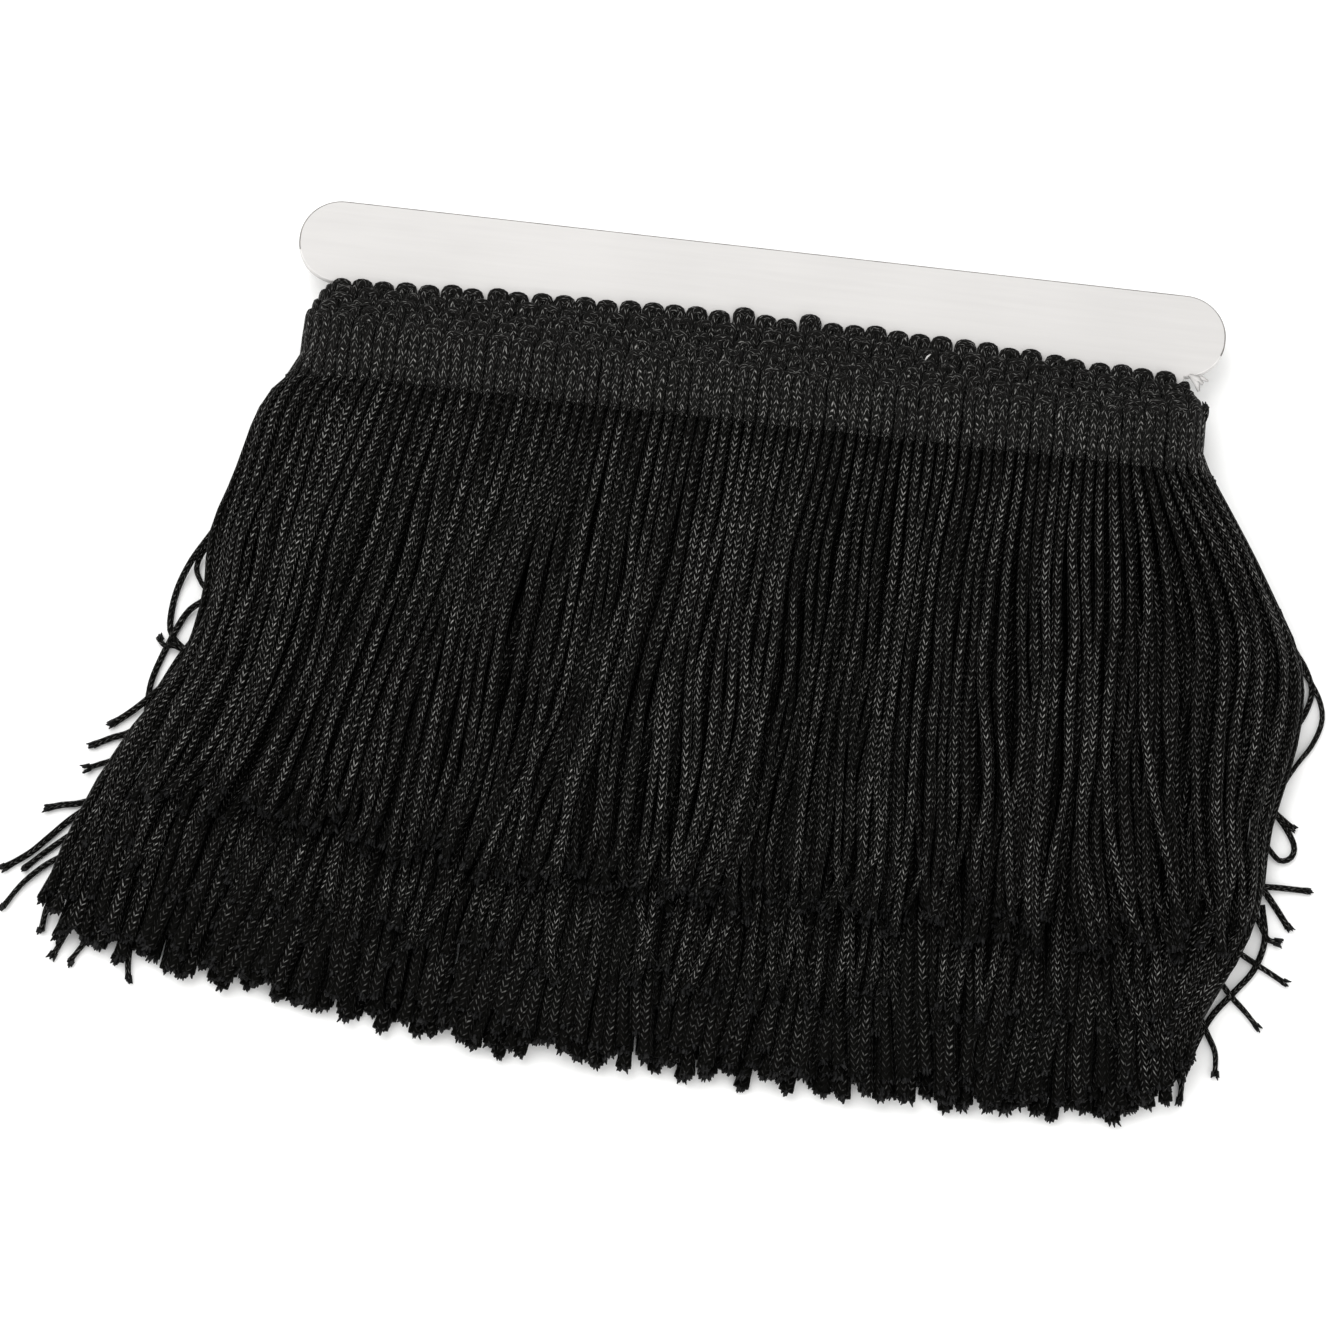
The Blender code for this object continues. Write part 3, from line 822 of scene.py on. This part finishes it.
def add_node(tree, kind, inputs=(), output=0, **settings):
    """Adds a node, sets its properties, fills its sockets from values or links, by name
    or in their order, and gives one of its outputs back."""
    node = tree.nodes.new(kind)
    for name, value in settings.items():
        setattr(node, name, value)
    for socket, value in inputs.items() if isinstance(inputs, dict) else enumerate(inputs):
        if isinstance(value, bpy.types.NodeSocket):
            tree.links.new(value, node.inputs[socket])
        else:
            node.inputs[socket].default_value = value
    return node.outputs[output]


def cells(size):
    """Cells of a noise in a metre, from the size of one in mm."""
    return 1 / (size * MM)


def new_material(name, roughness, specular):
    """A material with its tree, its shader and the object's own coordinates."""
    material = bpy.data.materials.new(name)
    material.use_nodes = True
    tree = material.node_tree
    shader = tree.nodes["Principled BSDF"]
    shader.inputs["Roughness"].default_value = roughness
    shader.inputs["Specular IOR Level"].default_value = specular
    return material, tree, shader, add_node(tree, "ShaderNodeTexCoord", output="Object")


def colour_between(tree, shader, share, tones):
    """Colours a shader by a ramp: each tone has its share and its linear colour."""
    ramp = add_node(tree, "ShaderNodeValToRGB", {"Fac": share})
    for stop, (position, colour) in zip(ramp.node.color_ramp.elements, tones):
        stop.position = position
        stop.color = (*colour, 1.0)
    tree.links.new(ramp, shader.inputs["Base Color"])


def mottled_material(name, size, detail, tones, roughness, specular):
    """A matt finish whose colour goes between two tones with a noise of the place, its
    cells of the given size in mm along X, Y and Z."""
    material, tree, shader, place = new_material(name, roughness, specular)
    scale = [cells(side) for side in size]
    place = add_node(tree, "ShaderNodeMapping", {"Vector": place, "Scale": scale})
    noise = {"Vector": place, "Scale": 1.0, "Detail": detail}
    tones = [(share, linear_colour(code)) for share, code in tones]
    colour_between(tree, shader, add_node(tree, "ShaderNodeTexNoise", noise), tones)
    return material


def stitch_height(tree, place, knit, unevenness):
    """The relief of a chain of knitted stitches, 0 to 1, from the knit UV map. Each
    column is a row of V shapes: the arms' phase runs ahead with the distance from
    the column's middle, and each arm is thick half way and thin at its ends."""
    math_node = "ShaderNodeMath"
    range_node = "ShaderNodeMapRange"
    # Stitches lie unevenly, each shifted by some part of its length, in patches of 2.4 mm.
    noise = {"Vector": place, "Scale": cells(2.381), "Detail": 1.0}
    uneven = add_node(tree, "ShaderNodeTexNoise", noise)
    centred = add_node(tree, math_node, (uneven, 0.5), operation="SUBTRACT")
    shift = add_node(tree, math_node, (centred, unevenness), operation="MULTIPLY")
    column = add_node(tree, math_node, (shift, 0.35, knit["Y"]), operation="MULTIPLY_ADD")
    column = add_node(tree, math_node, (column,), operation="FRACT")
    sideways = add_node(tree, math_node, (column, 0.5), operation="SUBTRACT")
    off_middle = add_node(tree, math_node, (sideways,), operation="ABSOLUTE")
    off_middle = add_node(tree, math_node, (off_middle, 2.0), operation="MULTIPLY")
    # One arm of each stitch is steeper than the other.
    steep = add_node(tree, math_node, (sideways, -0.35, shift), operation="MULTIPLY_ADD")
    ahead = add_node(tree, math_node, (off_middle, steep), operation="ADD")
    phase = add_node(tree, math_node, (knit["X"], ahead), operation="ADD")
    swing = add_node(tree, math_node, (phase,), operation="FRACT")
    swing = add_node(tree, math_node, (swing, 2.0, -1.0), operation="MULTIPLY_ADD")
    swing = add_node(tree, math_node, (swing,), operation="ABSOLUTE")
    # Each row is a part's place, where it starts and ends, and its height at both.
    parts = (
        (swing, 0.42, 1.0, 0.0, 1.0),
        (off_middle, 0.0, 0.25, 0.4, 1.0),
        (off_middle, 0.6, 0.98, 1.0, 0.0),
    )
    arm, waist, ends = (
        add_node(tree, range_node, part, interpolation_type="SMOOTHSTEP") for part in parts
    )
    waist = add_node(tree, math_node, (waist, ends), operation="MULTIPLY")
    return add_node(tree, math_node, (arm, waist), operation="MULTIPLY")


def chainette_material(name, settings, lift, base, unevenness, away_shade):
    """Black polyester chainette: bright filament yarn knitted into a round chain. Dyed
    yarn is near black, and the raised arms of its stitches carry a painted highlight
    for the light they catch. Lift is how far they go towards the stitch colour, base how
    far all of it does, a painted sheen, unevenness is in stitches, and the last argument
    is the painted shade of stretches that face away."""
    math_node = "ShaderNodeMath"
    range_node = "ShaderNodeMapRange"
    material, tree, shader, place = new_material(name, roughness=0.52, specular=0.025)
    knit = add_node(tree, "ShaderNodeUVMap", uv_map="knit")
    knit = add_node(tree, "ShaderNodeSeparateXYZ", (knit,)).node.outputs
    relief = stitch_height(tree, place, knit, unevenness)
    # Painted glints: arms glint one by one, as their filaments lie: noise finer than a stitch, 0.8
    # mm.
    noise = {"Vector": place, "Scale": cells(0.8333), "Detail": 1.0}
    glint = (add_node(tree, "ShaderNodeTexNoise", noise), 0.38, 0.68, 0.15, 1.4)
    bright = add_node(tree, range_node, glint, interpolation_type="SMOOTHSTEP")
    # Painted light and shade: stretches of a cord face the light or turn away.
    stretch = add_node(tree, math_node, (knit["X"], FACING_RATE), operation="MULTIPLY")
    noise = {"W": stretch, "Scale": 1.0, "Detail": 2.0}
    faces = add_node(tree, "ShaderNodeTexNoise", noise, noise_dimensions="1D")
    faces = (faces, 0.3, 0.65, away_shade, 1.0)
    tone = add_node(tree, range_node, faces, interpolation_type="SMOOTHSTEP")
    # Painted shade: the shade attribute darkens cords under the turn above, at the heading's foot
    # and on the tubes' flanks.
    shade = add_node(tree, "ShaderNodeAttribute", output="Fac", attribute_name="shade")
    lit = add_node(tree, math_node, (bright, tone), operation="MULTIPLY")
    lit = add_node(tree, math_node, (lit, shade), operation="MULTIPLY")
    raised = add_node(tree, math_node, (relief, 1.9), operation="POWER")
    share = add_node(tree, math_node, (raised, lit), operation="MULTIPLY")
    share = add_node(tree, math_node, (share, lift, base), operation="MULTIPLY_ADD")
    # Painted highlight: the raised arms go towards the stitch highlight colour.
    yarn = {0: share, 6: (*settings.cord_colour, 1.0), 7: (*settings.stitch_highlight_colour, 1.0)}
    colour = add_node(tree, "ShaderNodeMix", yarn, output=2, data_type="RGBA")
    # Stitches stand about a fifth of a millimetre proud.
    proud = {"Height": relief, "Strength": 0.9, "Distance": 0.22 * MM}
    tree.links.new(colour, shader.inputs["Base Color"])
    tree.links.new(add_node(tree, "ShaderNodeBump", proud), shader.inputs["Normal"])
    shader.inputs["Sheen Weight"].default_value = 0.01
    shader.inputs["Sheen Roughness"].default_value = 0.45
    return material


def thread_material():
    """Black polyester filament, the loose ends: plain smooth fibre, a little greyer
    along its length where it is worn, in stretches of 1.1 mm."""
    name = "black polyester filament"
    tones = ((0.4, "#060606"), (0.7, "#232323"))
    return mottled_material(name, (1.1111,) * 3, 1.0, tones, roughness=0.5, specular=0.1)


def card_material(settings):
    """White coated cardboard: pressed pulp with a thin clay coat, so it is matt with a
    faint grain along the board and a slight mottle."""
    name = "white coated cardboard"
    material, tree, shader, place = new_material(name, roughness=0.62, specular=0.3)
    # Fibres lie along the board: streaks some 25 mm long and 1 mm wide.
    scale = (cells(25.0), cells(1.1111), cells(1.1111))
    along = add_node(tree, "ShaderNodeMapping", {"Vector": place, "Scale": scale})
    noise = {"Vector": along, "Scale": 1.0, "Detail": 4.0, "Roughness": 0.6}
    grain = add_node(tree, "ShaderNodeTexNoise", noise)
    # The coat is laid unevenly, in clouds of some 30 mm.
    noise = {"Vector": place, "Scale": cells(33.333), "Detail": 3.0}
    cloud = add_node(tree, "ShaderNodeTexNoise", noise)
    tone = add_node(tree, "ShaderNodeMath", (grain, cloud), operation="ADD")
    tone = add_node(tree, "ShaderNodeMath", (tone, 0.5), operation="MULTIPLY")
    worn = [0.93 * part for part in settings.card_colour]
    colour_between(tree, shader, tone, ((0.35, worn), (0.65, settings.card_colour)))
    proud = {"Height": grain, "Strength": 0.35, "Distance": 0.06 * MM}
    tree.links.new(add_node(tree, "ShaderNodeBump", proud), shader.inputs["Normal"])
    return material


def core_material(name, dark, pale):
    """Board core, bare where the knife cut it: soft pulp in layers of a quarter of a
    millimetre, with specks some 3 mm long."""
    tones = ((0.3, dark), (0.7, pale))
    size = (3.3333, 3.3333, 0.25)
    return mottled_material(name, size, 2.0, tones, roughness=0.85, specular=0.5)


def paper_material():
    """White background paper: matt, with a mottle of 2.5 mm that is hardly seen."""
    name = "white studio paper"
    tones = ((0.0, "#fafaf9"), (1.0, "#fdfdfc"))
    return mottled_material(name, (2.5,) * 3, 2.0, tones, roughness=0.9, specular=0.1)


# Operators


def board_outline():
    """X, Y and the direction outwards along the board's outline: quarter circles,
    centre + corner*(cos(a), sin(a)), at the flange's corners, then the neck's corners."""
    left = FLANGE_SHIFT - FLANGE_LENGTH / 2
    right = FLANGE_SHIFT + FLANGE_LENGTH / 2
    foot = FLANGE_TOP - FLANGE_HEIGHT
    corner = FLANGE_CORNER
    turn = np.radians(np.linspace(0, 90, CORNER_STEPS + 1))
    centres = (
        (left + corner, foot + corner, 270),
        (left + corner, FLANGE_TOP - corner, 180),
        (right - corner, FLANGE_TOP - corner, 90),
        (right - corner, foot + corner, 0),
    )
    rows = []
    for x, y, start in centres:
        angle = math.radians(start) - turn
        outward = np.stack((np.cos(angle), np.sin(angle)), axis=-1)
        rows.append(np.concatenate(((x, y) + corner * outward, outward), axis=1))
    half = NECK_WIDTH / 2
    neck = (
        (half, foot, 1.0, -1.0),
        (half, HEADING_FOOT, 1.0, -1.0),
        (-half, HEADING_FOOT, -1.0, -1.0),
        (-half, foot, -1.0, -1.0),
    )
    return np.concatenate((*rows, neck))


class FRINGETRIM_OT_board(bpy.types.Operator):
    """Builds the winding board: its outline with softened arrises and a cut edge"""

    bl_idname = "fringetrim.board"
    bl_label = "Winding Board"

    def execute(self, context):
        """Each ring is the outline moved inwards by an inset, at a height, which rounds
        the arrises. The first and last rings are closed by a face."""
        settings = context.scene.fringe_trim
        outline = board_outline()
        flat = outline[None, :, :2] - ARRIS_INSETS[:, None, None] * outline[None, :, 2:]
        lift = ARRIS_HEIGHTS[:, None, None] * BOARD_THICK / 2
        lift = np.broadcast_to(lift, (*flat.shape[:2], 1)) + ROLL_HALF
        points = (np.concatenate((flat, lift), axis=-1) + ORIGIN) * MM
        index = np.arange(flat.shape[0] * flat.shape[1]).reshape(-1, len(outline))
        after = np.roll(index, -1, axis=1)
        walls = np.stack((index[:-1], index[1:], after[1:], after[:-1]), axis=-1).reshape(-1, 4)
        faces = walls.tolist() + [index[0].tolist(), index[-1][::-1].tolist()]
        mesh = bpy.data.meshes.new("winding_board_card")
        mesh.from_pydata(points.reshape(-1, 3).tolist(), [], faces)
        mesh.materials.append(card_material(settings))
        # Painted shade and light: the cut core comes in two copies, a dark shaded one on the upper
        # edge and the round ends, and a pale lit one on the lower edge.
        mesh.materials.append(core_material("cut board, handled", "#5e5c5a", "#8f8c89"))
        mesh.materials.append(core_material("cut board, painted_light_side", "#c6c4c2", "#dddbd9"))
        painted_shade_side = np.where(outline[:, 3] > -0.35, 1, 2)
        edge = np.concatenate((np.tile(painted_shade_side, len(ARRIS_INSETS) - 1), (0, 0)))
        mesh.polygons.foreach_set("material_index", edge.astype(np.int32))
        smooth = np.ones(len(faces), dtype=bool)
        smooth[-2:] = False
        mesh.polygons.foreach_set("use_smooth", smooth)
        mesh.update()
        finish_piece(mesh, "white_board", "winding_board")
        self.scraps(settings)
        return {"FINISHED"}

    def scraps(self, settings):
        """Thin flat strips that taper to both ends, for torn card and lint."""
        path = np.array([row[:3] for row in SCRAPS])
        half = np.array([row[3] for row in SCRAPS])[:, None]
        wide = half * np.array((0.5, 1.0, 0.4))
        high = 0.12 * np.array((0.6, 1.0, 0.5)) + 0 * half
        outwards = np.broadcast_to(np.array((0.1, 0.2, 0.97)), path.shape)
        flat = np.zeros(path.shape[:2])
        shape = tubes(path, outwards, wide, high, flat, flat, sides=4)
        mesh = new_mesh("card_scraps", shape, card_material(settings))
        finish_piece(mesh, "white_board", "winding_board")


class FRINGETRIM_OT_heading(bpy.types.Operator):
    """Builds the braided heading, one piece for each of its five wound turns"""

    bl_idname = "fringetrim.heading"
    bl_label = "Wound Heading"

    def execute(self, context):
        settings = context.scene.fringe_trim
        # The heading's higher base is a painted sheen on its upward-facing yarn.
        material = chainette_material(
            "black polyester braid", settings, lift=1.0, base=0.011, unevenness=1.5, away_shade=0.8
        )
        for turn in range(TURNS):
            luck = np.random.default_rng(100 + turn)
            track = Track(turn, settings.loop_pitch / MM)
            path, outwards, wide, high = heading_paths(track, luck)
            stitch = stitches_along(path, RIB_STITCH * settings.stitch_pitch / MM)
            # Both legs are knitted up to the crest, so stitches are counted from it.
            stitch = luck.integers(50, 900, (len(path), 1)) - np.abs(stitch - stitch[:, -1:] / 2)
            shade = np.broadcast_to(luck.uniform(0.85, 1.0, (len(path), 1)), stitch.shape)
            column = 0.5 - RIB_COLUMNS / 4 + luck.uniform(-0.25, 0.25, stitch.shape)
            # The yarn twists and is duller where a rib goes over into the next.
            over = np.sin(np.linspace(0, math.pi, stitch.shape[1])) ** 12
            column = column + over * luck.normal(0, 0.9, (len(path), 1))
            # Painted shade on the ribs' flanks.
            shade = painted_flank_shade(shade * (1 - 0.5 * over))
            shape = tubes(path, outwards, wide, high, stitch, column, columns=RIB_COLUMNS)
            mesh = new_mesh(f"heading_turn_{turn + 1}", shape, material, shade)
            finish_piece(mesh, "black_braid", "wound_heading")
        return {"FINISHED"}


class FRINGETRIM_OT_fringe(bpy.types.Operator):
    """Builds the chainette cords that hang from each turn, and their loose filaments"""

    bl_idname = "fringetrim.fringe"
    bl_label = "Chainette Fringe"

    def execute(self, context):
        settings = context.scene.fringe_trim
        material = chainette_material(
            "black polyester chainette", settings, lift=1.2, base=0.0003, unevenness=0.7, away_shade=0.55
        )
        filament = thread_material()
        for turn in range(TURNS):
            luck = np.random.default_rng(200 + turn)
            track = Track(turn, settings.loop_pitch / MM)
            path, shape, shade = fringe_tubes(track, settings, luck)
            mesh = new_mesh(f"fringe_turn_{turn + 1}", shape, material, shade)
            finish_piece(mesh, "black_cord", *FRINGE_NODES)
            frays = filaments(path, 1.0, settings, luck)
            mesh = new_mesh(f"cut_ends_turn_{turn + 1}", frays, filament)
            finish_piece(mesh, "black_cord", *FRINGE_NODES)
        return {"FINISHED"}


class FRINGETRIM_OT_strays(bpy.types.Operator):
    """Builds the cords that have come loose at the fan's two edges, and their filaments"""

    bl_idname = "fringetrim.strays"
    bl_label = "Stray Cords"

    def execute(self, context):
        """Each cord is a Catmull-Rom line through its given places, read at equal
        steps of its length."""
        settings = context.scene.fringe_trim
        luck = np.random.default_rng(300)
        path = np.stack([smooth_line(np.array(row), STRAY_STATIONS) for row in STRAY_CORDS])
        count = len(path)
        swell = np.full(STRAY_STATIONS, 0.7)
        swell[-2:] = (0.78, 0.86)
        wide = settings.cord_diameter / MM / 2 * swell * luck.uniform(0.9, 1.05, (count, 1))
        high = wide * 0.8
        path[..., 2] = np.maximum(path[..., 2], high)
        stitch = stitches_along(path, settings.stitch_pitch / MM)
        column = luck.uniform(0, 1, (count, 1)) + 0 * stitch
        twist = luck.uniform(-2, 2, (count, 1)) * np.linspace(0, 1, STRAY_STATIONS)
        outwards = np.broadcast_to(np.array((0.0, 0.0, 1.0)), path.shape)
        shape = tubes(path, outwards, wide, high, stitch, column, twist)
        material = chainette_material(
            "black polyester chainette, loose",
            settings,
            lift=0.9,
            base=0.001,
            unevenness=0.7,
            away_shade=0.5,
        )
        shade = np.full(len(shape[0]), 0.7)
        finish_piece(new_mesh("stray_cords", shape, material, shade), "black_cord", *FRINGE_NODES)
        frays = filaments(path, 0.7, settings, luck)
        mesh = new_mesh("stray_cord_ends", frays, thread_material())
        finish_piece(mesh, "black_cord", *FRINGE_NODES)
        return {"FINISHED"}


class FRINGETRIM_OT_stage(bpy.types.Operator):
    """Builds the pale floor, the soft light and the camera at the photograph's angle"""

    bl_idname = "fringetrim.stage"
    bl_label = "Studio Stage"

    def execute(self, context):
        scene = context.scene
        self.floor(scene)
        self.lights(scene)
        self.camera(scene)
        scene.view_settings.view_transform = "Standard"
        return {"FINISHED"}

    def floor(self, scene):
        reach = FLOOR_REACH
        mesh = bpy.data.meshes.new("studio_floor")
        corners = ((-reach, -reach, 0), (reach, -reach, 0), (reach, reach, 0), (-reach, reach, 0))
        mesh.from_pydata(corners, [], [(0, 1, 2, 3)])
        mesh.materials.append(paper_material())
        floor = bpy.data.objects.new("studio_floor", mesh)
        scene.collection.objects.link(floor)

    def lights(self, scene):
        world = bpy.data.worlds.new("studio_world")
        world.use_nodes = True
        background = world.node_tree.nodes["Background"]
        background.inputs["Color"].default_value = (1.0, 1.0, 1.0, 1.0)
        background.inputs["Strength"].default_value = 0.98
        scene.world = world
        for name, place, size, power in LIGHTS:
            light = bpy.data.lights.new(name, "AREA")
            light.shape = "DISK"
            light.size = size
            light.energy = power
            lamp = bpy.data.objects.new(name, light)
            back = unit(np.array(place))
            right = unit(np.cross((0.0, 1.0, 0.0), back))
            lamp.matrix_world = standing(right, np.cross(back, right), back, place)
            scene.collection.objects.link(lamp)

    def camera(self, scene):
        """The camera looks down at an angle to the surface and is turned about its own
        line of sight, so that the board runs down to the right."""
        tilt = math.radians(CAMERA_HEIGHT_ANGLE)
        roll = math.radians(CAMERA_ROLL)
        forward = np.array((0.0, math.cos(tilt), -math.sin(tilt)))
        level_right = np.array((1.0, 0.0, 0.0))
        level_up = np.array((0.0, math.sin(tilt), math.cos(tilt)))
        right = math.cos(roll) * level_right + math.sin(roll) * level_up
        up = -math.sin(roll) * level_right + math.cos(roll) * level_up
        place = (np.array(CAMERA_PLACE) + ORIGIN) * MM
        data = bpy.data.cameras.new("product_camera")
        data.sensor_width = 36.0
        data.lens = CAMERA_LENS
        camera = bpy.data.objects.new("product_camera", data)
        camera.matrix_world = standing(right, up, -forward, place)
        scene.collection.objects.link(camera)
        scene.camera = camera


def standing(right, up, back, place):
    """The matrix of a light or camera at a place, from the directions of its X, Y and Z."""
    columns = np.stack((right, up, back, place), axis=1)
    return Matrix([*columns.tolist(), (0, 0, 0, 1)])


class FRINGETRIM_PT_panel(bpy.types.Panel):
    """Lists the trim's pieces in the sidebar"""

    bl_label = "Fringe Trim"
    bl_idname = "FRINGETRIM_PT_panel"
    bl_space_type = "VIEW_3D"
    bl_region_type = "UI"
    bl_category = "Fringe Trim"

    def draw(self, context):
        layout = self.layout
        settings = context.scene.fringe_trim
        for name in settings.bl_rna.properties.keys():
            if name not in ("rna_type", "name"):
                layout.prop(settings, name)
        for operator in OPERATORS:
            layout.operator(operator.bl_idname)


OPERATORS = (
    FRINGETRIM_OT_board,
    FRINGETRIM_OT_heading,
    FRINGETRIM_OT_fringe,
    FRINGETRIM_OT_strays,
    FRINGETRIM_OT_stage,
)
CLASSES = (FringeTrimSettings, *OPERATORS, FRINGETRIM_PT_panel)


def register():
    for entry in CLASSES:
        bpy.utils.register_class(entry)
    bpy.types.Scene.fringe_trim = PointerProperty(type=FringeTrimSettings)


def unregister():
    del bpy.types.Scene.fringe_trim
    for entry in reversed(CLASSES):
        bpy.utils.unregister_class(entry)


def main():
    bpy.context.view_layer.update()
    register()
    for operator in OPERATORS:
        family, name = operator.bl_idname.split(".")
        getattr(getattr(bpy.ops, family), name)()


if __name__ == "__main__":
    main()
